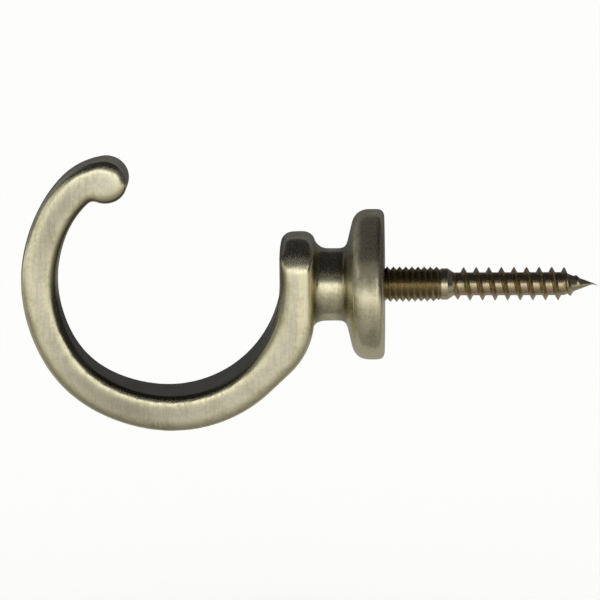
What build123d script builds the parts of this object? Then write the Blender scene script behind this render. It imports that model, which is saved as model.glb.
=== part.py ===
from build123d import *
import math
import os

# Curtain tieback hook: one cast hook body, screwed onto a steel hanger bolt.
# Frame, in millimetres: the origin is the centre of the rosette's back face, which meets
# the wall. +X runs along the bolt into the wall, -X out to the hook, and +Z is up.

# Hook bar, seen from the side
bowl_radius = 14.5           # inside of the round bowl that holds the curtain loop
bowl_lip_radius = 17.35      # inside of the bowl where it straightens towards the shoulder
bowl_lip_start = 35.5        # degrees below level at which the bowl starts to straighten
bowl_tail_radius = 15.4      # inside of the bowl on its way to the ball
bowl_tail_start = 36.3       # degrees above level at which that wider round starts
bowl_centre_z = 0.44
bar_width = 4.7              # metal between the bowl and the outside
stem_length = 9.04           # from the wall to the shoulder's outer face
heel_start = 42.0            # degrees below level at which the outside runs straight to the neck
heel_radius = 7.2            # bend from there up to the shoulder's outer face
shoulder_top = 7.0           # height of the shoulder over the bolt's axis

# Ball end of the hook
ball_radius = 2.96
ball_angle = 121.5           # degrees round the bowl from the shoulder's side to the ball
ball_inset = 1.08            # how far the ball lies inside the middle of the bar
ball_back_radius = 9.7       # outside of the bar where it leaves the big round for the ball
ball_notch_radius = 0.68     # hollow under the ball

# Depth of the bar, front to back, at three places
depth_at_shoulder = 11.6
depth_at_bottom = 8.6
depth_at_far_side = 4.8
bar_edge = 0.8               # flat that breaks the bar's long edges
shoulder_flat = 2.4          # flat left along the shoulder's top between its two roundings

# Neck and rosette, turned about the bolt's axis
rosette_radius = 9.8
rosette_rear_edge = 0.55     # flat that breaks the edge against the wall
rosette_rim = 2.15           # how far the rim runs out from the wall
rosette_front_edge = 2.1     # rounding from the rim to the front cone
rosette_lean = 13.5          # degrees that the front cone leans from the wall's plane
neck_radius = 4.75
neck_hollow = 0.5            # slope where the neck meets the rosette
neck_flare = 0.95            # slope where the neck meets the shoulder

# Hanger bolt
machine_radius = 2.425       # over the crests of the fine machine thread
machine_out = 7.3            # machine-threaded length outside the rosette
engaged_length = 9.0         # machine-threaded length inside the casting
bolt_chamfer = 0.5
thread_clearance = 0.05
drill_point = 1.2            # depth of the drill's cone past the tapped hole
collar_radius = 2.04
collar_length = 0.9
collar_taper = 0.8           # slope from the collar down to the wood thread's core
wood_crest_radius = 2.23
wood_root_radius = 1.5
wood_pitch = 1.634
wood_ridge = 0.75            # width of the wood thread at its root
wood_run_in = 0.5            # length over which the wood thread rises to its full height
wood_length = 14.3           # wood thread at full size, up to the point
point_length = 3.6
point_radius = 0.14          # blunt end of the point
burr_length = 0.8            # thin burr left on the point when it was rolled
burr_drop = 0.25

# Worked out from the sizes above
outer_radius = bowl_radius + bar_width
middle_radius = bowl_radius + bar_width / 2
shoulder_outer_x = -stem_length
bowl_centre = (shoulder_outer_x - outer_radius, bowl_centre_z)
shoulder_round = (depth_at_shoulder - shoulder_flat) / 2


def polar(centre, radius, degrees):
    """Point at a radius and an angle from a centre in the X-Z plane."""
    angle = math.radians(degrees)
    return (centre[0] + radius * math.cos(angle), centre[1] + radius * math.sin(angle))


def direction(start, end):
    """Angle in degrees of the line from one point to another, from 0 to 360."""
    return math.degrees(math.atan2(end[1] - start[1], end[0] - start[0])) % 360


def meeting(first, first_radius, second, second_radius):
    """The upper left point that lies at given distances from two centres."""
    gap = math.dist(first, second)
    along = (gap**2 + first_radius**2 - second_radius**2) / (2 * gap)
    turn = math.degrees(math.acos(along / first_radius))
    return polar(first, first_radius, direction(first, second) + turn)


def arc(centre, radius, start, end):
    """Arc between two angles about a centre."""
    return ThreePointArc(*[polar(centre, radius, a) for a in (start, (start + end) / 2, end)])


# Centre of the wider round that carries the bar on to the ball
tail_centre = polar(bowl_centre, bowl_radius - bowl_tail_radius, 180 - bowl_tail_start)
tail_outer_radius = bowl_tail_radius + bar_width
ball_centre = polar(tail_centre, bowl_tail_radius + bar_width / 2 - ball_inset, ball_angle)

# Centre of the arc that carries the inside of the bowl up to the shoulder
lip_centre = polar(bowl_centre, bowl_radius - bowl_lip_radius, -bowl_lip_start)
shoulder_inner_x = lip_centre[0] + bowl_lip_radius
shoulder_x = (shoulder_inner_x + shoulder_outer_x) / 2


def hook_outline():
    """Side outline of the bar, from the shoulder round the outside, the ball and the bowl."""
    back_centre = meeting(tail_centre, tail_outer_radius - ball_back_radius,
                          ball_centre, ball_back_radius - ball_radius)
    notch_centre = meeting(tail_centre, bowl_tail_radius - ball_notch_radius,
                           ball_centre, ball_radius + ball_notch_radius)
    tail_start = 180 - bowl_tail_start
    back_start = direction(tail_centre, back_centre)
    back_end = direction(back_centre, ball_centre)
    notch_ball = direction(ball_centre, notch_centre)
    notch_tail = direction(tail_centre, notch_centre)
    heel_drop = (outer_radius - heel_radius) * math.tan(math.radians(heel_start / 2))
    heel_centre = (shoulder_outer_x - heel_radius, bowl_centre_z - heel_drop)
    return [
        Line((shoulder_outer_x, shoulder_top), (shoulder_outer_x, heel_centre[1])),
        arc(heel_centre, heel_radius, 360, 360 - heel_start),
        Line(polar(heel_centre, heel_radius, -heel_start), polar(bowl_centre, outer_radius, -heel_start)),
        arc(bowl_centre, outer_radius, 360 - heel_start, tail_start),
        arc(tail_centre, tail_outer_radius, tail_start, back_start),
        arc(back_centre, ball_back_radius, back_start, back_end),
        arc(ball_centre, ball_radius, back_end + 360, notch_ball),
        arc(notch_centre, ball_notch_radius, notch_ball - 180, notch_tail),
        arc(tail_centre, bowl_tail_radius, notch_tail, tail_start),
        arc(bowl_centre, bowl_radius, tail_start, 360 - bowl_lip_start),
        arc(lip_centre, bowl_lip_radius, -bowl_lip_start, 0),
        Line((shoulder_inner_x, lip_centre[1]), (shoulder_inner_x, shoulder_top)),
        Line((shoulder_inner_x, shoulder_top), (shoulder_outer_x, shoulder_top)),
    ]


def depth_slopes():
    """How fast the bar's half depth grows along +X and along +Z."""
    to_shoulder = shoulder_x - bowl_centre[0]
    along_x = (depth_at_shoulder - depth_at_far_side) / 2 / (to_shoulder + middle_radius)
    at_bottom = depth_at_shoulder / 2 - along_x * to_shoulder
    along_z = (at_bottom - depth_at_bottom / 2) / middle_radius
    return along_x, along_z


def between_skins(shape):
    """Keep what lies between the bar's sloping front and back."""
    along_x, along_z = depth_slopes()
    for side in (-1, 1):
        skin = Plane(origin=(shoulder_x, side * depth_at_shoulder / 2, bowl_centre_z),
                     z_dir=(-along_x, side, -along_z))
        shape = split(shape, bisect_by=skin, keep=Keep.BOTTOM)
    return shape


def hook_bar():
    """The bar: its outline in metal, tapered front and back, with broken edges."""
    bar = between_skins(extrude(Plane.XZ * make_face(hook_outline()), depth_at_shoulder, both=True))
    top = bar.faces().filter_by(Axis.Z)[0]
    bar = fillet([e for e in top.edges() if abs(e.center().Y) > bar_edge], shoulder_round)
    walls = [f for f in bar.faces() if abs(f.normal_at().Y) < 1e-6 and f.normal_at().Z < 1 - 1e-6]
    borders = [e for f in walls for e in f.edges()]
    return chamfer([e for e in borders if borders.count(e) == 1], bar_edge)


def turned_body():
    """Neck and rosette in one turned shape, with the neck's end inside the shoulder."""
    lean = math.radians(rosette_lean)
    front_x = -rosette_rim - rosette_front_edge * math.tan((math.pi / 2 - lean) / 2)
    neck_x = front_x - (rosette_radius - neck_radius) * math.tan(lean)
    corners = [(0, 0), (0, rosette_radius), (front_x, rosette_radius), (neck_x, neck_radius),
               (shoulder_x, neck_radius), (shoulder_x, 0)]
    half = make_face(Polyline(*corners, close=True))

    def at_corner(face, corner):
        return face.vertices().sort_by_distance(Vertex(*corner, 0))[0]

    half = chamfer(at_corner(half, corners[1]), rosette_rear_edge)
    half = fillet(at_corner(half, corners[2]), rosette_front_edge)
    half = chamfer(at_corner(half, corners[3]), neck_hollow)
    return revolve(Plane.XZ * half, Axis.X)


def along_bolt(*profile):
    """Shape turned about the bolt's axis from (X, radius) corners, closed along the axis."""
    corners = dict.fromkeys([(profile[0][0], 0), *profile, (profile[-1][0], 0)])
    return revolve(Plane.XZ * make_face(Polyline(*corners, close=True)), Axis.X)


def ridge(pitch, start, end, root, crest, width):
    """Sharp right-hand thread ridge, sunk a little into the core that carries it."""
    path = Pos(start, 0, 0) * Helix(pitch, end - start, root, direction=(1, 0, 0))
    section = Plane(origin=path @ 0, x_dir=(1, 0, 0), z_dir=path % 0)
    outwards = (path @ 0) - Vector(start, 0, 0)
    height = math.copysign(crest - root, section.y_dir.dot(outwards))
    sunk = math.copysign(root / 10, height)
    wide = (width + width * root / 10 / (crest - root)) / 2
    corners = [(-wide, -sunk), (0, height), (wide, -sunk)]
    return sweep(section * make_face(Polyline(*corners, close=True)), path, is_frenet=True)


def wood_end():
    """Collar, wood thread and point."""
    start = machine_out + collar_length + collar_taper
    full = start + wood_length
    end = full + point_length
    over = wood_crest_radius + wood_pitch / 2
    core = along_bolt((start, wood_root_radius), (full, wood_root_radius), (end, point_radius))
    thread = ridge(wood_pitch, start - wood_pitch, end, wood_root_radius, wood_crest_radius, wood_ridge)
    rise = (wood_crest_radius - wood_root_radius) / wood_run_in
    trim = along_bolt((start, wood_root_radius), (start + (over - wood_root_radius) / rise, over),
                      (full, over), (full, wood_crest_radius), (end, point_radius))
    return (core + thread) & trim


def hanger_bolt():
    """Steel bolt: machine-threaded end, plain collar, wood thread, point and burr."""
    collar_end = machine_out + collar_length
    wood_start = collar_end + collar_taper
    point_end = wood_start + wood_length + point_length
    start = -engaged_length
    shank = along_bolt((start, machine_radius - bolt_chamfer), (start + bolt_chamfer, machine_radius),
                       (machine_out, machine_radius), (machine_out, collar_radius),
                       (collar_end, collar_radius), (wood_start, wood_root_radius))
    drop = math.degrees(math.atan2(burr_drop, burr_length))
    burr = Cone(point_radius, point_radius / 4, math.hypot(burr_length, burr_drop),
                align=(Align.CENTER, Align.CENTER, Align.MIN))
    burr = Pos(point_end, 0, 0) * Rot(0, 90 + drop, 0) * burr
    return shank + wood_end() + burr


def neck_root():
    """Slope from the neck out to the shoulder's outer face, flush with the bar's sides."""
    wide = neck_radius + neck_flare
    slope = along_bolt((shoulder_x, wide), (shoulder_outer_x, wide), (shoulder_outer_x + neck_flare, neck_radius))
    return between_skins(slope)


def hook_body():
    """The casting: bar, neck and rosette, with the tapped hole for the bolt."""
    hole = machine_radius + thread_clearance
    drilled = along_bolt((-engaged_length - drill_point, 0), (-engaged_length, hole), (0, hole))
    return hook_bar() + neck_root() + turned_body() - drilled


def main():
    os.makedirs("parts", exist_ok=True)
    for name, solid in (("hook_body", hook_body()), ("hanger_bolt", hanger_bolt())):
        export_step(solid, f"parts/{name}.step")
        print(name, round(solid.volume, 1), solid.is_valid, len(solid.solids()))


if __name__ == "__main__":
    main()
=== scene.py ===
"""Looks of the curtain tieback hook, laid out as a Blender add-on and run as a script."""

import math

import bmesh
import bpy
import numpy as np
from bpy.props import FloatProperty, FloatVectorProperty, IntProperty, PointerProperty
from mathutils import Matrix, Vector


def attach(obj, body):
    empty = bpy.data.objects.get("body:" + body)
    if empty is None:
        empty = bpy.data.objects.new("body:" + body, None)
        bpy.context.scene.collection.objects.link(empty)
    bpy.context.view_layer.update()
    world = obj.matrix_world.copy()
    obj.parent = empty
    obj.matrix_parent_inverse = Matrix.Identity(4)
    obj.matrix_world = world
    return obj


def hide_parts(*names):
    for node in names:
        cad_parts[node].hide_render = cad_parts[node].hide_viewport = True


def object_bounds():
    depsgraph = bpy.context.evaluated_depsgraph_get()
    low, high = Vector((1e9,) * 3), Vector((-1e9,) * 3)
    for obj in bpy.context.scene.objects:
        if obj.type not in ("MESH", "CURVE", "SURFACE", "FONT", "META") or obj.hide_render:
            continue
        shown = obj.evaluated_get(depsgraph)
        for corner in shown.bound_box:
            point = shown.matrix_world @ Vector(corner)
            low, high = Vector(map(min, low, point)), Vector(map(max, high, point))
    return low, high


bl_info = {
    "name": "Curtain Tieback Hook",
    "version": (1, 0, 0),
    "blender": (4, 5, 0),
    "location": "3D View > Sidebar > Tieback Hook",
    "description": "Cast hook, hanger bolt and studio for a curtain tieback hook",
    "category": "Object",
}

# The solid model, at rest, is the frame that every piece is fitted to
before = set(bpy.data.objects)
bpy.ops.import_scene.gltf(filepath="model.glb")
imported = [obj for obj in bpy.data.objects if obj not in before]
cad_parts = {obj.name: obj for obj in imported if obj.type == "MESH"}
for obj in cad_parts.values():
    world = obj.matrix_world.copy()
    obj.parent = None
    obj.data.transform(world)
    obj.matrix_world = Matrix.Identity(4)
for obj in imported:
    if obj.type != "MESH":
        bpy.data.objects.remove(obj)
solid_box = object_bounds()
mm = 0.001

# What the casting's skin carries at each vertex, as shares from 0 to 1: patina, wear and painted shade
SKIN_MARKS = ("hollow", "proud", "bowl_patina_and_shade", "worn", "dull", "rim_shade")
# Places that the wheel wore less: degrees round the bowl, and reach in millimetres
DULL_PLACES = ((148, 6.5), (242, 9.0))


def srgb(code):
    """Linear colour with alpha from a six-figure sRGB hex code."""
    parts = [int(code[i:i + 2], 16) / 255 for i in (1, 3, 5)]
    linear = [p / 12.92 if p <= 0.04045 else ((p + 0.055) / 1.055) ** 2.4 for p in parts]
    return (*linear, 1.0)


def size(name, value, text, **extra):
    """Length in millimetres, angle in degrees or share that a user can change."""
    return FloatProperty(name=name, description=text, default=value, min=0.0, **extra)


class HookSizes(bpy.types.PropertyGroup):
    """Sizes of the cast hook, in millimetres and degrees"""

    bowl_radius: size("Bowl radius", 14.46, "Inside of the round bowl")
    bar_width: size("Bar width", 4.7, "Metal between the bowl and the outside")
    bowl_height: size("Bowl height", 0.41, "Height of the bowl's centre over the bolt's axis")
    stem_length: size("Stem length", 9.04, "From the wall to the shoulder's outer face")
    lip_radius: size("Lip radius", 15.5, "Inside of the bowl on its way up to the shoulder")
    lip_start: size("Lip start", 37.0, "Degrees below level where the lip's arc starts")
    tail_radius: size("Tail radius", 15.4, "Inside of the bowl on its way to the ball")
    tail_start: size("Tail start", 36.3, "Degrees above level where the tail's arc starts")
    bar_bulge: size("Bar bulge", 0.3, "How far the far side stands out at its two diagonals")
    heel_start: size("Heel start", 46.0, "Degrees below level where the outside runs straight")
    heel_radius: size("Heel radius", 10.2, "Bend from the heel up to the shoulder")
    shoulder_top: size("Shoulder top", 6.72, "Height of the shoulder over the bolt's axis")
    inner_corner: size("Inner corner", 1.6, "Rounding of the shoulder's corner over the bowl")
    outer_corner: size("Outer corner", 1.6, "Rounding of the shoulder's corner over the neck")
    shoulder_arch: size("Shoulder arch", 4.2, "Rounding of the shoulder's top, front to back")
    ball_radius: size("Ball radius", 2.88, "Rounded end of the hook")
    ball_angle: size("Ball angle", 121.5, "Degrees round the bowl to the ball")
    ball_inset: size("Ball inset", 1.3, "How far the ball lies inside the bar's middle")
    ball_back: size("Ball back radius", 9.7, "Outside of the bar where it turns in to the ball")
    ball_notch: size("Ball notch radius", 0.68, "Hollow under the ball")
    depth_at_shoulder: size("Depth at shoulder", 11.6, "Front to back at the shoulder")
    depth_at_bottom: size("Depth at bottom", 8.6, "Front to back at the bottom of the bowl")
    depth_at_far_side: size("Depth at far side", 4.8, "Front to back at the far side")
    bar_edge: size("Bar edge", 1.25, "Rounding of the bar's long edges, across the face")
    bar_edge_depth: size("Bar edge depth", 0.85, "Rounding of the bar's long edges, front to back")
    upright_softness: size("Upright softness", 0.55, "Deeper rounding where the bar is upright")
    inner_softness: size("Inner softness", 0.15, "Wider inner rounding where the bar is upright")
    ball_softness: size("Ball softness", 0.9, "Wider rounding of the ball's edge on its open side")
    neck_radius: size("Neck radius", 4.72, "Waist between the shoulder and the rosette")
    neck_flare: size("Neck flare", 1.7, "Hollow where the neck's top runs up to the shoulder")
    neck_flare_rise: size("Neck flare rise", 1.12, "How far that hollow climbs")
    rosette_radius: size("Rosette radius", 9.8, "Round plate against the wall")
    rosette_rim: size("Rosette rim", 2.15, "How far the rim runs out from the wall")
    rosette_rear: size("Rosette rear edge", 0.8, "Rounding of the edge against the wall")
    rosette_front: size("Rosette front edge", 2.1, "Rounding from the rim to the front cone")
    rosette_lean: size("Rosette lean", 13.5, "Degrees that the front cone leans")
    rosette_hollow: size("Rosette hollow", 0.9, "Hollow where the neck meets the rosette")
    bore_radius: size("Bore radius", 2.475, "Tapped hole for the bolt")
    bore_depth: size("Bore depth", 10.2, "Depth of the hole from the wall")
    grain: FloatProperty(name="Mesh grain", description="Edge length of the cast skin's faces",
                         default=0.24, min=0.1)


class BoltSizes(bpy.types.PropertyGroup):
    """Sizes of the hanger bolt, in millimetres"""

    engaged: size("Engaged length", 9.0, "Machine thread inside the casting")
    machine_out: size("Machine length", 7.3, "Machine thread outside the rosette")
    machine_pitch: size("Machine pitch", 0.8, "Distance from crest to crest")
    machine_core: size("Machine core", 1.88, "Radius at the root of the machine thread")
    machine_crest: size("Machine crest", 2.4, "Radius over the crests at the rosette")
    machine_crest_end: size("Machine crest end", 2.26, "Radius over the crests at the collar")
    collar_radius: size("Collar radius", 2.04, "Plain collar between the two threads")
    collar_length: size("Collar length", 0.9, "Straight part of the collar")
    collar_taper: size("Collar taper", 0.8, "Slope from the collar to the wood thread")
    wood_pitch: size("Wood pitch", 1.634, "Distance from crest to crest")
    wood_core: size("Wood core", 1.5, "Radius at the root of the wood thread")
    wood_crest: size("Wood crest", 2.23, "Radius over the crests")
    wood_ridge: size("Wood ridge", 0.75, "Width of the ridge at its root")
    wood_turn: size("Wood turn", 0.26, "Share of a turn by which the wood thread is turned")
    wood_length: size("Wood length", 14.3, "Thread at full size, up to the point")
    point_length: size("Point length", 3.6, "Length of the cone")
    point_radius: size("Point radius", 0.14, "Blunt end of the cone")
    burr_length: size("Burr length", 0.8, "Thin burr left on the point")
    burr_drop: size("Burr drop", 0.25, "How far the burr bends down")
    segments: IntProperty(name="Segments", description="Faces round each thread", default=72, min=12)


class FinishColours(bpy.types.PropertyGroup):
    """Colours of the two finishes"""

    brass_pale: FloatVectorProperty(name="Pale brass", description="Rubbed antique brass", size=4,
                                    subtype="COLOR", default=srgb("#e6dfbe"))
    brass_grey: FloatVectorProperty(name="Grey brass", description="Brass rubbed thin on the faces", size=4,
                                    subtype="COLOR", default=srgb("#cfcac0"))
    brass_olive: FloatVectorProperty(name="Olive brass", description="Brass under thin patina", size=4,
                                     subtype="COLOR", default=srgb("#b0a884"))
    # Brown of the painted shade on the rosette's rim
    brass_rim_shade: FloatVectorProperty(name="Brown film", description="Film left where hands hold it", size=4,
                                     subtype="COLOR", default=srgb("#554e3d"))
    # Patina in the hollows, also used as painted shade on the bowl's inside
    brass_dark: FloatVectorProperty(name="Dark patina", description="Patina left in the hollows", size=4,
                                    subtype="COLOR", default=srgb("#4c4632"))
    zinc_olive: FloatVectorProperty(name="Olive zinc", description="Thin passivation film", size=4,
                                    subtype="COLOR", default=srgb("#bfb388"))
    zinc_brown: FloatVectorProperty(name="Brown zinc", description="Thicker passivation film", size=4,
                                    subtype="COLOR", default=srgb("#ab9f7c"))
    zinc_pink: FloatVectorProperty(name="Pink zinc", description="Rose fringe of the film", size=4,
                                   subtype="COLOR", default=srgb("#d2b3a2"))
    # Painted shade for the roots of the fine thread
    zinc_root_shade: FloatVectorProperty(name="Thread root", description="Dark film in the fine thread", size=4,
                                   subtype="COLOR", default=srgb("#958c76"))
    zinc_pale: FloatVectorProperty(name="Pale zinc", description="Thin film on collar and point", size=4,
                                   subtype="COLOR", default=srgb("#dcd3b4"))
    zinc_green: FloatVectorProperty(name="Green zinc", description="Green fringe of the film", size=4,
                                    subtype="COLOR", default=srgb("#b6b888"))


class StudioValues(bpy.types.PropertyGroup):
    """Camera, background and cards"""

    azimuth: FloatProperty(name="Azimuth", description="Degrees that the camera stands to the right",
                           default=1.77)
    elevation: FloatProperty(name="Elevation", description="Degrees that the camera looks down",
                             default=12.36)
    roll: FloatProperty(name="Roll", description="Degrees that the object leans anticlockwise",
                        default=0.57)
    distance: FloatProperty(name="Distance", description="From the camera to the object",
                            default=0.562, unit="LENGTH")
    pixels_per_mm: FloatProperty(name="Pixels per millimetre", description="In a 600 pixel picture",
                                 default=7.683)
    origin_right: FloatProperty(name="Origin right", default=84.5,
                                description="Pixels from the picture's centre to the rosette's centre")
    origin_up: FloatProperty(name="Origin up", default=15.82,
                             description="Pixels from the picture's centre to the rosette's centre")


def polar(centre, radius, degrees):
    """Point at a radius and an angle from a centre in the X-Z plane."""
    angle = math.radians(degrees)
    return (centre[0] + radius * math.cos(angle), centre[1] + radius * math.sin(angle))


def direction(start, end):
    """Angle in degrees of the line from one point to another, from 0 to 360."""
    return math.degrees(math.atan2(end[1] - start[1], end[0] - start[0])) % 360


def meeting(first, first_radius, second, second_radius):
    """The upper left point that lies at given distances from two centres."""
    gap = math.dist(first, second)
    along = (gap**2 + first_radius**2 - second_radius**2) / (2 * gap)
    turn = math.degrees(math.acos(along / first_radius))
    return polar(first, first_radius, direction(first, second) + turn)


def arc_points(centre, radius, start, end, step=2.5):
    """Points along an arc, both ends included."""
    count = max(2, math.ceil(abs(end - start) / step))
    return [polar(centre, radius, start + (end - start) * i / count) for i in range(count + 1)]


def hook_outline(s, inset):
    """Side outline of the bar in millimetres, drawn inwards by inset, as points in the X-Z plane."""
    outer = s.bowl_radius + s.bar_width
    shoulder_x = -s.stem_length
    bowl = (shoulder_x - outer, s.bowl_height)
    tail_angle = 180 - s.tail_start
    tail = polar(bowl, s.bowl_radius - s.tail_radius, tail_angle)
    tail_outer = s.tail_radius + s.bar_width
    ball = polar(tail, s.tail_radius + s.bar_width / 2 - s.ball_inset, s.ball_angle)
    lip = polar(bowl, s.bowl_radius - s.lip_radius, -s.lip_start)
    back = meeting(tail, tail_outer - s.ball_back, ball, s.ball_back - s.ball_radius)
    notch = meeting(tail, s.tail_radius - s.ball_notch, ball, s.ball_radius + s.ball_notch)
    heel_drop = (outer - s.heel_radius) * math.tan(math.radians(s.heel_start / 2))
    heel = (shoulder_x - s.heel_radius, s.bowl_height - heel_drop)
    outer_corner = (shoulder_x - s.outer_corner, s.shoulder_top - s.outer_corner)
    inner_x = lip[0] + s.lip_radius
    inner_corner = (inner_x + s.inner_corner, s.shoulder_top - s.inner_corner)
    back_start = direction(tail, back) - 360
    back_end = direction(back, ball) - 360
    ball_end = direction(ball, notch) - 360
    notch_end = direction(tail, notch)
    points = (
        arc_points(outer_corner, s.outer_corner - inset, 90, 0, 9)
        + arc_points(heel, s.heel_radius - inset, 0, -s.heel_start)
        + arc_points(bowl, outer - inset, -s.heel_start, tail_angle - 360)
        + arc_points(tail, tail_outer - inset, tail_angle - 360, back_start)
        + arc_points(back, s.ball_back - inset, back_start, back_end)
        + domed(s, inset, ball, back_end, ball_end - 360 * (ball_end > back_end))
        + arc_points(notch, s.ball_notch + inset, ball_end + 180, notch_end, 12)
        + softened(s, inset, bowl, notch_end, (
            arc_points(tail, s.tail_radius + inset, notch_end, tail_angle)
            + arc_points(bowl, s.bowl_radius + inset, tail_angle, 360 - s.lip_start)
            + arc_points(lip, s.lip_radius + inset, -s.lip_start, 0)))
        + arc_points(inner_corner, s.inner_corner - inset, 180, 90, 9)
    )
    return [bulged(s, bowl, point) for point in points], bowl, inner_x


def domed(s, inset, centre, start, end):
    """Arc round the ball, whose edge is rounded most in the middle of the arc."""
    points = arc_points(centre, s.ball_radius - inset, start, end, 6)
    last = len(points) - 1
    wider = [inset * s.ball_softness * math.sin(math.pi * i / last) for i in range(last + 1)]
    return [polar(point, -more, direction(centre, point)) for point, more in zip(points, wider)]


def softened(s, inset, centre, start, points):
    """Points of the inner edge, whose rounding is widest on the bowl's upright sides."""
    set_in = 20.0
    moved = []
    for point in points:
        angle = direction(centre, point)
        share = min(abs(angle - start) / set_in, 1.0)
        out = inset * s.inner_softness * share * math.cos(math.radians(angle))**2
        moved.append(polar(point, out, angle))
    return moved


def bulged(s, centre, point):
    """Point of the outline, moved out where the far side of the hook is a little square."""
    right, up = point[0] - centre[0], point[1] - centre[1]
    radius = math.hypot(right, up)
    if right >= 0:
        return point
    out = 1 + s.bar_bulge * (2 * right * up / radius**2)**4 / radius
    return (centre[0] + right * out, centre[1] + up * out)


def bar_rings(s):
    """Closed rings of the bar from its front face, over both rounded edges, to its back face."""
    _, bowl, inner_x = hook_outline(s, 0)
    middle = s.bowl_radius + s.bar_width / 2
    shoulder_x = (inner_x - s.stem_length) / 2
    along_x = (s.depth_at_shoulder - s.depth_at_far_side) / 2 / (shoulder_x - bowl[0] + middle)
    at_bottom = s.depth_at_shoulder / 2 - along_x * (shoulder_x - bowl[0])
    along_z = (at_bottom - s.depth_at_bottom / 2) / middle
    arch_foot = s.shoulder_top - s.shoulder_arch

    def ring(inset, under, share):
        """Outline at a share of the half depth, less what the rounded edge takes away."""
        points = []
        for x, z in hook_outline(s, inset)[0]:
            half = s.depth_at_shoulder / 2 + along_x * (x - shoulder_x) + along_z * (z - bowl[1])
            right, up = x - bowl[0], z - bowl[1]
            upright = right**2 / (right**2 + up**2)
            y = (half - under * (1 + s.upright_softness * upright)) * share
            # The shoulder's top is arched from front to back
            near = x > inner_x - 0.5 and z > arch_foot
            rise = (z - arch_foot) / s.shoulder_arch if near else 0.0
            reach = min(max(abs(y) - half + s.shoulder_arch, 0.0) / s.shoulder_arch, 0.999)
            fall = s.shoulder_arch * (1 - math.sqrt(1 - reach**2))
            points.append((x, y, z - fall * rise))
        return points

    rings = [ring(0, s.bar_edge_depth, i / 8) for i in range(-7, 8)]
    for turn in range(0, 91, 10):
        inset = s.bar_edge * (1 - math.cos(math.radians(turn)))
        under = s.bar_edge_depth * (1 - math.sin(math.radians(turn)))
        rings.insert(0, ring(inset, under, -1))
        rings.append(ring(inset, under, 1))
    return rings


def closed_stack(rings):
    """Mesh through a stack of rings with as many points each, its first and last ring filled."""
    bm = bmesh.new()
    rows = [[bm.verts.new(point) for point in ring] for ring in rings]
    for low, high in zip(rows, rows[1:]):
        for i in range(len(low)):
            j = (i + 1) % len(low)
            bm.faces.new((low[i], low[j], high[j], high[i]))
    bm.faces.new(rows[0])
    bm.faces.new(list(reversed(rows[-1])))
    bmesh.ops.remove_doubles(bm, verts=bm.verts, dist=1e-5)
    bmesh.ops.triangulate(bm, faces=[f for f in bm.faces if len(f.verts) > 4], ngon_method="EAR_CLIP")
    bmesh.ops.recalc_face_normals(bm, faces=bm.faces)
    return bm


def turned(profile, segments):
    """Closed mesh turned about the X axis from (x, radius) corners."""
    rings = []
    for x, radius in profile:
        steps = (2 * math.pi * i / segments for i in range(segments))
        rings.append([(x, radius * math.cos(a), radius * math.sin(a)) for a in steps])
    return closed_stack(rings)


def neck_profile(s):
    """Corners of the rosette and neck from the wall to the bar's middle, every rounding an arc."""
    lean = math.radians(s.rosette_lean)
    edge = s.rosette_front
    front_x = -s.rosette_rim - edge * math.tan((math.pi / 2 - lean) / 2)
    neck_x = front_x - (s.rosette_radius - s.neck_radius) * math.tan(lean)
    rear = s.rosette_rear
    on_axis = 0.01
    points = [(0.0, on_axis)]
    points += arc_points((-rear, s.rosette_radius - rear), rear, 0, 90, 9)
    points += arc_points((-s.rosette_rim, s.rosette_radius - edge), edge, 90, 180 - s.rosette_lean, 6)
    hollow = s.rosette_hollow
    setback = hollow * math.tan((math.pi / 2 - lean) / 2)
    centre = (neck_x - setback, s.neck_radius + hollow)
    points += arc_points(centre, hollow, -s.rosette_lean, -90, 6)
    in_bar = -s.stem_length - s.bar_width / 2
    points += [(in_bar, s.neck_radius), (in_bar, on_axis)]
    return points


def neck_with_flare(s, segments):
    """Neck and rosette, whose neck runs up to the shoulder in a hollow along its top."""
    sunk = s.neck_flare - math.sqrt(s.neck_flare**2 - (s.neck_flare - s.neck_flare_rise)**2)
    flare_x = -s.stem_length - sunk + s.neck_flare
    profile = neck_profile(s)
    foot = next(i for i, p in enumerate(profile) if p[0] <= -s.stem_length + s.neck_flare)
    hollow = [(-s.stem_length + (flare_x + s.stem_length) * (1 - i / 12), s.neck_radius) for i in range(13)]
    profile = profile[:foot] + hollow + profile[-2:]
    rings = []
    for x, radius in profile:
        reach = min(max(flare_x - x, 0.0), s.neck_flare - sunk)
        climb = s.neck_flare - math.sqrt(s.neck_flare**2 - reach**2)
        ring = []
        for i in range(segments):
            angle = 2 * math.pi * i / segments
            # The hollow climbs most on top, less underneath and hardly at the sides
            upwards = math.sin(angle)
            share = 0.1 + upwards**2 * (0.9 if upwards > 0 else 0.3)
            flared = radius + climb * share * (radius > 1)
            ring.append((x, flared * math.cos(angle), flared * math.sin(angle)))
        rings.append(ring)
    return closed_stack(rings)


def mesh_of(bm, name):
    """Object in the scene made from a bmesh, which is freed."""
    mesh = bpy.data.meshes.new(name)
    bm.to_mesh(mesh)
    bm.free()
    obj = bpy.data.objects.new(name, mesh)
    bpy.context.scene.collection.objects.link(obj)
    return obj


def applied(obj):
    """Give the object the mesh that its modifiers make, and clear the modifiers."""
    bpy.context.view_layer.update()
    graph = bpy.context.evaluated_depsgraph_get()
    mesh = bpy.data.meshes.new_from_object(obj.evaluated_get(graph))
    obj.modifiers.clear()
    old = obj.data
    obj.data = mesh
    bpy.data.meshes.remove(old)
    return obj


def joined(name, parts):
    """One object from several bmeshes."""
    whole = bmesh.new()
    for part in parts:
        mesh = bpy.data.meshes.new("part")
        part.to_mesh(mesh)
        part.free()
        whole.from_mesh(mesh)
        bpy.data.meshes.remove(mesh)
    return mesh_of(whole, name)


def to_metres(obj):
    """Bring a mesh that was made in millimetres to metres."""
    obj.data.transform(Matrix.Scale(mm, 4))
    obj.data.update()
    return obj


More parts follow.
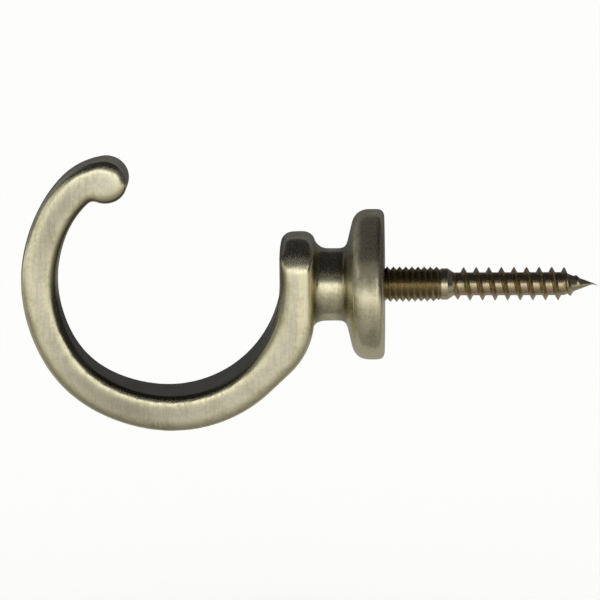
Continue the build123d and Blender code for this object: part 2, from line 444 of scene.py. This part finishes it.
def skin_arrays(mesh):
    """Places and normals of the vertices, and a function that averages over each one's neighbours."""
    count = len(mesh.vertices)
    places = np.zeros(count * 3)
    mesh.vertices.foreach_get("co", places)
    normals = np.zeros(count * 3, np.float32)
    mesh.vertex_normals.foreach_get("vector", normals)
    ends = np.zeros(len(mesh.edges) * 2, np.int64)
    mesh.edges.foreach_get("vertices", ends)
    ends = ends.reshape(-1, 2)
    near = np.bincount(ends.ravel(), minlength=count)[:, None]

    def mean(values):
        total = np.zeros_like(values, dtype=float)
        np.add.at(total, ends[:, 0], values[ends[:, 1]])
        np.add.at(total, ends[:, 1], values[ends[:, 0]])
        return total / near

    return places.reshape(-1, 3), normals.reshape(-1, 3), mean


def fade(values, zero, one):
    """Share that rises evenly from 0 at one value to 1 at another."""
    return np.clip((values - zero) / (one - zero), 0, 1)


def patina_and_shade_marks(s, obj, spread):
    """Store at each vertex how far each of the skin's marks, painted shade among them, holds there."""
    places, normals, mean = skin_arrays(obj.data)
    bend = ((mean(places) - places) * normals).sum(1, keepdims=True)
    for _ in range(spread):
        bend = mean(bend)
    hollow = bend[:, 0] / np.percentile(np.abs(bend), 97)
    # Dark patina and painted shade on the bowl's inside, the painted shade standing for the dark that the
    # inside reflects; on the upright sides the painted shade also reaches over the inner edge
    _, bowl, inner_x = hook_outline(s, 0)
    inwards = np.stack([bowl[0] - places[:, 0], 0 * places[:, 1], bowl[1] - places[:, 2]], 1)
    inwards /= np.linalg.norm(inwards, axis=1, keepdims=True)
    upright = np.abs(inwards[:, 0])
    facing = (inwards * normals).sum(1) + 0.24 * upright
    on_bar = places[:, 0] < inner_x + s.bar_width / 2
    bowl_patina_and_shade = np.where(on_bar, fade(facing, 0.3, 0.75), 0)
    # The wheel wears the middle of the flat faces most
    flat = np.abs(normals[:, 1:2]).astype(float)
    for _ in range(3 * spread):
        flat = mean(flat)
    worn = np.where(on_bar, fade(flat[:, 0], 0.9, 1.0), 0)
    dull = np.zeros(len(places))
    for angle, reach in DULL_PLACES:
        x, z = polar(bowl, s.bowl_radius + s.bar_width / 2, angle)
        away = np.hypot(places[:, 0] - x, places[:, 2] - z) / reach
        dull = np.maximum(dull, np.exp(-away**2))
    dull *= 0.3 + 0.7 * worn
    # A brown band of painted shade on the rosette's rim, just above the middle, that dims the rim's
    # reflection there
    x, height = places[:, 0], places[:, 2]
    rim = fade(x, -5.3, -4.3) * fade(x, -0.6, -1.1)
    band = fade(height, 0.2, 1.8) * np.maximum(fade(height, 5.8, 2.8), 0.25)
    for name, values in zip(SKIN_MARKS, (hollow, -hollow, bowl_patina_and_shade, worn, dull, rim * band)):
        mark = obj.data.attributes.new(name, "FLOAT", "POINT")
        mark.data.foreach_set("value", np.clip(values, 0, 1).astype(np.float32))


def add(tree, kind, links=None, **settings):
    """Add a node, set its settings and fill its inputs with values or other nodes' outputs."""
    node = tree.nodes.new(kind)
    for key, value in settings.items():
        setattr(node, key, value)
    for key, value in (links or {}).items():
        if isinstance(value, bpy.types.NodeSocket):
            tree.links.new(value, node.inputs[key])
        else:
            node.inputs[key].default_value = value
    return node


def new_material(name):
    """Empty material with its output node."""
    material = bpy.data.materials.new(name)
    material.use_nodes = True
    material.node_tree.nodes.clear()
    return material, material.node_tree


def maths(tree, operation, *values):
    """Output of one arithmetic node."""
    return add(tree, "ShaderNodeMath", dict(enumerate(values)), operation=operation).outputs[0]


def brushed_antique_brass(colours):
    """Antique brass plating on a zinc casting, brushed up and down and lacquered.

    To the eye: pale straw metal with fine upright hair lines, greyer where the wheel wore it, olive where
    the patina is thicker, brown-black left in the hollows, dark patina with painted shade on the bowl's
    inside, a brown band of painted shade on the rosette's rim, and soft reflections."""
    material, tree = new_material("brushed antique brass plating")
    place = add(tree, "ShaderNodeTexCoord").outputs["Object"]
    in_mm = add(tree, "ShaderNodeVectorMath", {0: place, "Scale": 1 / mm}, operation="SCALE").outputs[0]
    x, y, z = add(tree, "ShaderNodeSeparateXYZ", {0: in_mm}).outputs
    # The wheel ran up and down, so the hair lines are long that way
    lines_at = add(tree, "ShaderNodeCombineXYZ", {0: x, 1: y, 2: maths(tree, "MULTIPLY", z, 0.06)})
    # Hair lines are about 0.05 mm apart on the real one, and drawn at 0.25 mm so that they show
    lines = add(tree, "ShaderNodeTexNoise", {"Vector": lines_at.outputs[0], "Scale": 4.0, "Detail": 3.0,
                                            "Roughness": 0.65}).outputs[0]
    # Pits of the cast skin, about half a millimetre across, show through the plating
    pits = add(tree, "ShaderNodeTexNoise", {"Vector": in_mm, "Scale": 1.9, "Detail": 4.0,
                                           "Roughness": 0.7}).outputs[0]
    clouds = add(tree, "ShaderNodeTexNoise", {"Vector": in_mm, "Scale": 0.32, "Detail": 4.0,
                                             "Roughness": 0.55}).outputs[0]
    specks = add(tree, "ShaderNodeTexNoise", {"Vector": in_mm, "Scale": 3.2, "Detail": 2.0}).outputs[0]
    hollow, proud, bowl_patina_and_shade, worn, dull, rim_shade = (
        add(tree, "ShaderNodeAttribute", attribute_name=mark).outputs["Fac"] for mark in SKIN_MARKS)
    tone = add(tree, "ShaderNodeMapRange", {"Value": clouds, "From Min": 0.38, "From Max": 0.66,
                                            "To Min": 0.0, "To Max": 0.6}).outputs[0]
    streak = add(tree, "ShaderNodeMapRange", {"Value": lines, "From Min": 0.35, "From Max": 0.7,
                                              "To Min": -0.12, "To Max": 0.3}).outputs[0]
    mottle = add(tree, "ShaderNodeMapRange", {"Value": pits, "From Min": 0.3, "From Max": 0.7,
                                              "To Min": -0.3, "To Max": 0.36}).outputs[0]
    olive = maths(tree, "ADD", maths(tree, "ADD", tone, streak), mottle)
    olive = maths(tree, "SUBTRACT", olive, maths(tree, "MULTIPLY", proud, 0.5))
    base = mixed(tree, olive, tuple(colours.brass_pale), tuple(colours.brass_olive))
    patchy = add(tree, "ShaderNodeMapRange", {"Value": pits, "From Min": 0.36, "From Max": 0.64,
                                              "To Min": 0.3, "To Max": 0.8}).outputs[0]
    worn = maths(tree, "MULTIPLY", worn, patchy)
    base = mixed(tree, worn, base, tuple(colours.brass_grey))
    speck = add(tree, "ShaderNodeMapRange", {"Value": specks, "From Min": 0.73, "From Max": 0.8,
                                             "To Min": 0.0, "To Max": 0.55}).outputs[0]
    dark = maths(tree, "MAXIMUM", speck, maths(tree, "MULTIPLY", hollow, 0.8))
    # Patina and painted shade on the bowl's inside
    dark = maths(tree, "MAXIMUM", dark, maths(tree, "MULTIPLY", bowl_patina_and_shade, 0.76))
    dark = maths(tree, "MAXIMUM", dark, maths(tree, "MULTIPLY", dull, 0.46))
    # Painted shade on the rosette's rim, broken up by the clouds
    rim_shade = maths(tree, "MULTIPLY", rim_shade, maths(tree, "ADD", clouds, 0.12))
    base = mixed(tree, dark, base, tuple(colours.brass_dark))
    base = mixed(tree, rim_shade, base, tuple(colours.brass_rim_shade))
    # Where the brown band of painted shade lies, the metal shines less and is rougher
    metal = maths(tree, "SUBTRACT", 1.0, maths(tree, "MULTIPLY", rim_shade, 0.45))
    rough = add(tree, "ShaderNodeMapRange", {"Value": lines, "From Min": 0.3, "From Max": 0.7,
                                             "To Min": 0.21, "To Max": 0.32}).outputs[0]
    rough = maths(tree, "ADD", rough, maths(tree, "MULTIPLY", rim_shade, 0.15))
    bump = add(tree, "ShaderNodeBump", {"Height": lines, "Strength": 0.12, "Distance": 0.02 * mm})
    shader = add(tree, "ShaderNodeBsdfPrincipled", {"Base Color": base, "Metallic": metal,
                                                   "Roughness": rough, "Normal": bump.outputs[0]})
    add(tree, "ShaderNodeOutputMaterial", {"Surface": shader.outputs[0]})
    return material


def mixed(tree, factor, first, second):
    """Colour output between two colours."""
    node = tree.nodes.new("ShaderNodeMix")
    node.data_type = "RGBA"
    sockets = {"Factor": node.inputs[0], "A": node.inputs[6], "B": node.inputs[7]}
    for key, value in (("Factor", factor), ("A", first), ("B", second)):
        if isinstance(value, bpy.types.NodeSocket):
            tree.links.new(value, sockets[key])
        else:
            sockets[key].default_value = value
    return node.outputs[2]


def yellow_passivated_zinc(s, colours):
    """Zinc plate on steel under a yellow chromate film.

    To the eye: a bright metal tinted olive to brown, with pink and green fringes where the film's thickness
    changes, and painted shade in the roots of the fine thread."""
    material, tree = new_material("yellow passivated zinc plate")
    place = add(tree, "ShaderNodeTexCoord").outputs["Object"]
    in_mm = add(tree, "ShaderNodeVectorMath", {0: place, "Scale": 1 / mm}, operation="SCALE").outputs[0]
    x, y, z = add(tree, "ShaderNodeSeparateXYZ", {0: in_mm}).outputs
    film = add(tree, "ShaderNodeTexNoise", {"Vector": in_mm, "Scale": 0.85, "Detail": 3.0,
                                           "Roughness": 0.6}).outputs[0]
    ramp = add(tree, "ShaderNodeValToRGB", {"Fac": film})
    stops = ((0.3, colours.zinc_brown), (0.44, colours.zinc_olive), (0.52, colours.zinc_pink),
             (0.6, colours.zinc_green), (0.72, colours.zinc_brown))
    while len(ramp.color_ramp.elements) < len(stops):
        ramp.color_ramp.elements.new(0.5)
    for element, (at, colour) in zip(ramp.color_ramp.elements, stops):
        element.position = at
        element.color = tuple(colour)
    fine = maths(tree, "LESS_THAN", x, s.machine_out)
    base = mixed(tree, maths(tree, "MULTIPLY", fine, 0.5), ramp.outputs[0], tuple(colours.zinc_brown))
    # Painted shade in the roots of the fine thread, darkest at the core
    squares = maths(tree, "ADD", maths(tree, "MULTIPLY", y, y), maths(tree, "MULTIPLY", z, z))
    out = maths(tree, "SQRT", squares)
    root = add(tree, "ShaderNodeMapRange", {"Value": out, "From Min": s.machine_core, "To Min": 0.5,
                                            "From Max": s.machine_crest_end, "To Max": 0.0}).outputs[0]
    base = mixed(tree, maths(tree, "MULTIPLY", fine, root), base, tuple(colours.zinc_root_shade))
    # The film is thin on the collar and on the point
    wood_start = s.machine_out + s.collar_length + s.collar_taper
    point_start = wood_start + s.wood_length
    collar = maths(tree, "SUBTRACT", maths(tree, "LESS_THAN", x, wood_start), fine)
    point = add(tree, "ShaderNodeMapRange", {"Value": x, "From Min": point_start,
                                             "From Max": point_start + s.point_length / 2}).outputs[0]
    thin = maths(tree, "MULTIPLY", maths(tree, "ADD", collar, point), 0.7)
    base = mixed(tree, thin, base, tuple(colours.zinc_pale))
    grit = add(tree, "ShaderNodeTexNoise", {"Vector": in_mm, "Scale": 5.0, "Detail": 3.0}).outputs[0]
    rough = add(tree, "ShaderNodeMapRange", {"Value": grit, "From Min": 0.3, "From Max": 0.7,
                                             "To Min": 0.2, "To Max": 0.38}).outputs[0]
    bump = add(tree, "ShaderNodeBump", {"Height": grit, "Strength": 0.2, "Distance": 0.02 * mm})
    shader = add(tree, "ShaderNodeBsdfPrincipled", {"Base Color": base, "Metallic": 1.0,
                                                   "Roughness": rough, "Normal": bump.outputs[0]})
    add(tree, "ShaderNodeOutputMaterial", {"Surface": shader.outputs[0]})
    return material


def thread_tree():
    """Node tree that makes a closed, right-hand threaded rod along X, in millimetres."""
    tree = bpy.data.node_groups.new("helical thread", "GeometryNodeTree")
    tree.interface.new_socket("Geometry", in_out="OUTPUT", socket_type="NodeSocketGeometry")
    for name in ("Start", "Length", "Pitch", "Core radius", "Crest radius",
                 "Crest radius at end", "Ridge width", "Run in", "Turn", "Point length", "Point radius"):
        tree.interface.new_socket(name, in_out="INPUT", socket_type="NodeSocketFloat")
    for name in ("Segments", "Rows per turn"):
        tree.interface.new_socket(name, in_out="INPUT", socket_type="NodeSocketInt")
    tree.interface.new_socket("Material", in_out="INPUT", socket_type="NodeSocketMaterial")
    given = tree.nodes.new("NodeGroupInput").outputs

    def calc(operation, *values):
        return maths(tree, operation, *values)

    def ramp(value, low, high, first, last):
        """Straight change from first to last while value goes from low to high."""
        return add(tree, "ShaderNodeMapRange", {"Value": value, "From Min": low, "From Max": high,
                                                "To Min": first, "To Max": last}).outputs[0]

    turns = calc("ADD", calc("DIVIDE", given["Length"], given["Pitch"]), 2.0)
    rows = calc("CEIL", turns)
    counted = calc("ADD", calc("MULTIPLY", rows, given["Rows per turn"]), 1.0)
    around = calc("ADD", given["Segments"], 1.0)
    grid = add(tree, "GeometryNodeMeshGrid", {"Size X": 1.0, "Size Y": 1.0, "Vertices X": around,
                                             "Vertices Y": counted})
    on_grid = add(tree, "GeometryNodeInputPosition").outputs[0]
    u, v, _ = add(tree, "ShaderNodeSeparateXYZ", {0: on_grid}).outputs
    u = calc("ADD", u, 0.5)
    v = calc("ADD", v, 0.5)
    # Each row of the grid follows the helix, one turn of it from side to side
    advance = calc("SUBTRACT", calc("ADD", calc("MULTIPLY", v, rows), u), 1.0)
    x = calc("ADD", given["Start"], calc("MULTIPLY", advance, given["Pitch"]))
    end = calc("ADD", given["Start"], given["Length"])
    x = calc("MINIMUM", calc("MAXIMUM", x, given["Start"]), end)
    turned_by = calc("ADD", u, given["Turn"])
    passed = calc("DIVIDE", calc("SUBTRACT", x, given["Start"]), given["Pitch"])
    phase = calc("FRACT", calc("SUBTRACT", passed, turned_by))
    off = calc("MULTIPLY", calc("ABSOLUTE", calc("SUBTRACT", phase, 0.5)), given["Pitch"])
    ridge = ramp(off, 0.0, calc("DIVIDE", given["Ridge width"], 2.0), 1.0, 0.0)
    point = calc("SUBTRACT", end, given["Point length"])
    thread_end = calc("SUBTRACT", end, calc("MULTIPLY", given["Point length"], 0.15))
    crest = ramp(x, given["Start"], end, given["Crest radius"], given["Crest radius at end"])
    full = calc("ADD", given["Start"], given["Run in"])
    run_in = ramp(x, given["Start"], full, given["Core radius"], crest)
    to_point = ramp(x, point, thread_end, crest, given["Point radius"])
    core = ramp(x, point, end, given["Core radius"], given["Point radius"])
    crest = calc("MAXIMUM", calc("MINIMUM", calc("MINIMUM", crest, run_in), to_point), core)
    radius = calc("ADD", core, calc("MULTIPLY", calc("SUBTRACT", crest, core), ridge))
    inside = calc("MULTIPLY", calc("GREATER_THAN", v, 1e-4), calc("LESS_THAN", v, 1 - 1e-4))
    radius = calc("MULTIPLY", radius, inside)
    angle = calc("MULTIPLY", u, 2 * math.pi)
    place = add(tree, "ShaderNodeCombineXYZ", {0: x, 1: calc("MULTIPLY", radius, calc("COSINE", angle)),
                                              2: calc("MULTIPLY", radius, calc("SINE", angle))})
    moved = add(tree, "GeometryNodeSetPosition", {"Geometry": grid.outputs[0],
                                                  "Position": place.outputs[0]})
    merged = add(tree, "GeometryNodeMergeByDistance", {"Geometry": moved.outputs[0], "Distance": 1e-3})
    real = add(tree, "GeometryNodeRealizeInstances", {"Geometry": merged.outputs[0]})
    dressed = add(tree, "GeometryNodeSetMaterial", {"Geometry": real.outputs[0],
                                                    "Material": given["Material"]})
    add(tree, "NodeGroupOutput", {"Geometry": dressed.outputs[0]})
    return tree


def threaded_rod(name, tree, material, **sizes):
    """Plain mesh of a threaded rod, in millimetres."""
    obj = bpy.data.objects.new(name, bpy.data.meshes.new(name))
    bpy.context.scene.collection.objects.link(obj)
    modifier = obj.modifiers.new("thread", "NODES")
    modifier.node_group = tree
    sockets = {i.name: i.identifier for i in tree.interface.items_tree if i.in_out == "INPUT"}
    for key, value in sizes.items():
        modifier[sockets[key.replace("_", " ").capitalize()]] = value
    modifier[sockets["Material"]] = material
    return applied(obj)


def collar_mesh(s, wood_start):
    """Chamfered collar and its slope, whose ends run into the two threads."""
    chamfer = 0.1
    into_machine = 0.25
    into_wood = 0.4
    profile = [(s.machine_out - into_machine, s.machine_core), (s.machine_out, s.collar_radius - chamfer),
               (s.machine_out + chamfer, s.collar_radius),
               (s.machine_out + s.collar_length, s.collar_radius),
               (wood_start, s.wood_core), (wood_start + into_wood, s.wood_core - 0.05)]
    return turned(profile, s.segments)


def burr_mesh(s, tip):
    """Thin burr that tapers and bends down from the point's tip."""
    steps = 5
    sides = 12
    rings = []
    for i in range(steps + 1):
        part = i / steps
        x = tip + s.burr_length * part
        z = -s.burr_drop * part**1.5
        radius = s.point_radius * (1 - 0.85 * part)
        turn = (2 * math.pi * k / sides for k in range(sides))
        rings.append([(x, radius * math.cos(a), z + radius * math.sin(a)) for a in turn])
    return closed_stack(rings)


def finished(obj, material, node, sharp):
    """Shade a piece, give it its material, and tie it to the solid that it stands for."""
    mesh = obj.data
    mesh.materials.clear()
    mesh.materials.append(material)
    mesh.shade_smooth()
    mesh.set_sharp_from_angle(angle=math.radians(sharp))
    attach(obj, "root")
    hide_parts(node)


class TIEBACK_OT_casting(bpy.types.Operator):
    """Cast the hook, its neck and its rosette as one skin with a drilled back"""

    bl_idname = "tieback.casting"
    bl_label = "Hook Casting"

    def execute(self, context):
        s = context.scene.hook_sizes
        bar = closed_stack(bar_rings(s))
        neck = neck_with_flare(s, segments=144)
        casting = joined("hook_casting", [bar, neck])
        skin = casting.modifiers.new("cast skin", "REMESH")
        skin.mode = "VOXEL"
        skin.voxel_size = s.grain
        skin.adaptivity = 0.0
        soft = casting.modifiers.new("cast smoothness", "SMOOTH")
        soft.factor = 0.5
        soft.iterations = 10
        applied(casting)
        # The drill starts outside the back face, so that the hole is open
        hole = turned([(1.0, s.bore_radius), (-s.bore_depth, s.bore_radius)], segments=64)
        drill = mesh_of(hole, "drill")
        bore = casting.modifiers.new("bore", "BOOLEAN")
        bore.operation = "DIFFERENCE"
        bore.solver = "EXACT"
        bore.object = drill
        applied(casting)
        bpy.data.objects.remove(drill)
        patina_and_shade_marks(s, casting, spread=10)
        to_metres(casting)
        material = brushed_antique_brass(context.scene.finish_colours)
        finished(casting, material, "hook_body", sharp=40)
        return {"FINISHED"}


class TIEBACK_OT_bolt(bpy.types.Operator):
    """Roll the hanger bolt's two threads and turn its collar and burr"""

    bl_idname = "tieback.bolt"
    bl_label = "Hanger Bolt"

    def execute(self, context):
        s = context.scene.bolt_sizes
        material = yellow_passivated_zinc(s, context.scene.finish_colours)
        tree = thread_tree()
        machine = threaded_rod(
            "bolt_machine_thread", tree, material, start=-s.engaged,
            length=s.engaged + s.machine_out, pitch=s.machine_pitch, core_radius=s.machine_core,
            crest_radius=s.machine_crest, crest_radius_at_end=s.machine_crest_end,
            ridge_width=s.machine_pitch, run_in=0.5, point_length=0.3,
            point_radius=s.machine_core, segments=s.segments, rows_per_turn=12)
        wood_start = s.machine_out + s.collar_length + s.collar_taper
        tip = wood_start + s.wood_length + s.point_length
        into_collar = 0.3
        wood = threaded_rod(
            "bolt_wood_thread", tree, material, start=wood_start - into_collar,
            length=s.wood_length + s.point_length + into_collar, pitch=s.wood_pitch,
            core_radius=s.wood_core, crest_radius=s.wood_crest, crest_radius_at_end=s.wood_crest,
            ridge_width=s.wood_ridge, run_in=1.0, turn=s.wood_turn, point_length=s.point_length,
            point_radius=s.point_radius, segments=s.segments, rows_per_turn=18)
        plain = joined("bolt_collar", [collar_mesh(s, wood_start), burr_mesh(s, tip)])
        for obj in (machine, wood, plain):
            to_metres(obj)
            finished(obj, material, "hanger_bolt", sharp=32)
        return {"FINISHED"}


class TIEBACK_OT_studio(bpy.types.Operator):
    """Set the camera at the photograph's angle, with a pale floor, soft light and grey cards"""

    bl_idname = "tieback.studio"
    bl_label = "Studio"

    def execute(self, context):
        scene = context.scene
        v = scene.studio_values
        place_camera(scene, v)
        scene.view_settings.view_transform = "Standard"
        white_world(scene)
        low = solid_box[0][2]
        floor = card("floor", (0, 0.6, low - 0.03), (6, 6), (0, 0, 0))
        floor.data.materials.append(pale_floor())
        # The cards stand outside the picture, and only the metal's reflections see them
        upright = math.radians(90)
        cool, warm = srgb("#f2f4ff"), srgb("#fffcf6")
        for name, place, extent, turn, tint, near, far in (
                ("card_above", (0, 0.2, 0.45), (2.4, 1.4), (0, 0, 0), cool, 0.02, 0.05),
                ("card_brow", (0, -0.9, 0.54), (2.6, 0.5), (upright, 0, 0), cool, 0.18, 0.04),
                ("card_behind", (0, 0.22, 0.07), (0.8, 0.23), (upright, 0, 0), cool, 0.09, 0.19),
                ("card_right", (0.2, -0.13, 0.1), (0.74, 0.29), (upright, 0, upright), cool, 0.06, 0.09),
                ("card_left", (-0.2, 0.11, 0.13), (0.26, 0.25), (upright, 0, upright), cool, 0.3, 0.1),
                ("card_below", (0, -0.13, low - 0.028), (0.8, 0.26), (0, 0, 0), warm, 1.08, 0.19),
                ("card_below_back", (0, 0.18, low - 0.028), (0.8, 0.36), (0, 0, 0), warm, 0.38, 0.32)):
            shade = card(name, place, extent, turn)
            shade.data.materials.append(grey_card(name, extent[1], tint, near, far))
            shade.visible_camera = False
            shade.visible_diffuse = False
            shade.visible_shadow = False
        lamp = bpy.data.lights.new("soft_box", "AREA")
        lamp.shape = "RECTANGLE"
        lamp.size = 1.0
        lamp.size_y = 0.22
        lamp.energy = 0.4
        box = bpy.data.objects.new("soft_box", lamp)
        box.location = (-0.1, -1.0, 0.12)
        aim = Vector((-0.02, 0, 0)) - box.location
        box.rotation_euler = aim.to_track_quat("-Z", "Y").to_euler()
        scene.collection.objects.link(box)
        return {"FINISHED"}


def place_camera(scene, v):
    """Camera that shows the rosette's centre at the photograph's pixel, at its scale."""
    az, el, roll = (math.radians(a) for a in (v.azimuth, v.elevation, v.roll))
    back = Vector((math.sin(az) * math.cos(el), -math.cos(az) * math.cos(el), math.sin(el)))
    level = Vector((math.cos(az), math.sin(az), 0))
    upright = back.cross(level)
    right = level * math.cos(roll) - upright * math.sin(roll)
    up = level * math.sin(roll) + upright * math.cos(roll)
    pixel = mm / v.pixels_per_mm
    place = back * v.distance - right * v.origin_right * pixel - up * v.origin_up * pixel
    data = bpy.data.cameras.new("camera")
    data.sensor_width = 36.0
    data.lens = data.sensor_width * v.distance / (600 * pixel)
    data.clip_start = 0.01
    camera = bpy.data.objects.new("camera", data)
    turn = Matrix((right, up, back)).transposed().to_4x4()
    camera.matrix_world = Matrix.Translation(place) @ turn
    scene.collection.objects.link(camera)
    scene.camera = camera


def card(name, place, extent, turn):
    """Flat sheet of the studio, which isn't part of the object."""
    bm = bmesh.new()
    bmesh.ops.create_grid(bm, x_segments=1, y_segments=1, size=0.5)
    bm.transform(Matrix.Diagonal((extent[0], extent[1], 1, 1)))
    obj = mesh_of(bm, name)
    obj.location = place
    obj.rotation_euler = turn
    return obj


def seen_directly(tree):
    """1 for rays from the camera, and for those that metal or glass passes on."""
    rays = add(tree, "ShaderNodeLightPath").outputs
    either = maths(tree, "MAXIMUM", rays["Is Camera Ray"], rays["Is Glossy Ray"])
    return maths(tree, "MAXIMUM", either, rays["Is Transmission Ray"])


def white_world(scene):
    """White studio walls, a little dimmer as a light than as a background."""
    world = bpy.data.worlds.new("white walls")
    world.use_nodes = True
    tree = world.node_tree
    tree.nodes.clear()
    strength = add(tree, "ShaderNodeMapRange", {"Value": seen_directly(tree), "To Min": 0.8, "To Max": 1.0})
    sky = add(tree, "ShaderNodeBackground", {"Color": (1, 1, 1, 1), "Strength": strength.outputs[0]})
    add(tree, "ShaderNodeOutputWorld", {"Surface": sky.outputs[0]})
    scene.world = world


def pale_floor():
    """Matt white paper, lifted to white where it is seen directly, so that its shadow stays."""
    material, tree = new_material("white paper")
    paper = add(tree, "ShaderNodeBsdfDiffuse", {"Color": srgb("#e6e6e4")})
    lift = add(tree, "ShaderNodeEmission", {"Color": (1, 1, 1, 1),
                                            "Strength": maths(tree, "MULTIPLY", seen_directly(tree), 0.35)})
    both = add(tree, "ShaderNodeAddShader", {0: paper.outputs[0], 1: lift.outputs[0]})
    add(tree, "ShaderNodeOutputMaterial", {"Surface": both.outputs[0]})
    return material


def grey_card(name, length, tint, near, far):
    """Card that fades from one grey to another along its length, as a studio hangs round bright metal."""
    material, tree = new_material(name)
    place = add(tree, "ShaderNodeTexCoord").outputs["Object"]
    along = add(tree, "ShaderNodeSeparateXYZ", {0: place}).outputs["Y"]
    grey = add(tree, "ShaderNodeMapRange", {"Value": along, "From Min": -length / 2, "From Max": length / 2,
                                            "To Min": near, "To Max": far})
    glow = add(tree, "ShaderNodeEmission", {"Color": tint, "Strength": grey.outputs[0]})
    add(tree, "ShaderNodeOutputMaterial", {"Surface": glow.outputs[0]})
    return material


class TIEBACK_PT_panel(bpy.types.Panel):
    """Sidebar panel with the sizes, colours and steps"""

    bl_idname = "TIEBACK_PT_panel"
    bl_label = "Tieback Hook"
    bl_space_type = "VIEW_3D"
    bl_region_type = "UI"
    bl_category = "Tieback Hook"

    def draw(self, context):
        scene = context.scene
        for step in (TIEBACK_OT_casting, TIEBACK_OT_bolt, TIEBACK_OT_studio):
            self.layout.operator(step.bl_idname)
        for group in (scene.hook_sizes, scene.bolt_sizes, scene.finish_colours, scene.studio_values):
            box = self.layout.box()
            for name in group.__annotations__:
                box.prop(group, name)


CLASSES = (HookSizes, BoltSizes, FinishColours, StudioValues, TIEBACK_OT_casting, TIEBACK_OT_bolt,
           TIEBACK_OT_studio, TIEBACK_PT_panel)
GROUPS = {"hook_sizes": HookSizes, "bolt_sizes": BoltSizes, "finish_colours": FinishColours,
          "studio_values": StudioValues}


def register():
    """Add the classes and hang their values on the scene."""
    for item in CLASSES:
        bpy.utils.register_class(item)
    for name, group in GROUPS.items():
        setattr(bpy.types.Scene, name, PointerProperty(type=group))


def unregister():
    """Take the values and classes away again."""
    for name in GROUPS:
        delattr(bpy.types.Scene, name)
    for item in reversed(CLASSES):
        bpy.utils.unregister_class(item)


def main():
    """Make every piece."""
    register()
    bpy.ops.tieback.studio()
    bpy.ops.tieback.casting()
    bpy.ops.tieback.bolt()


if __name__ == "__main__":
    main()
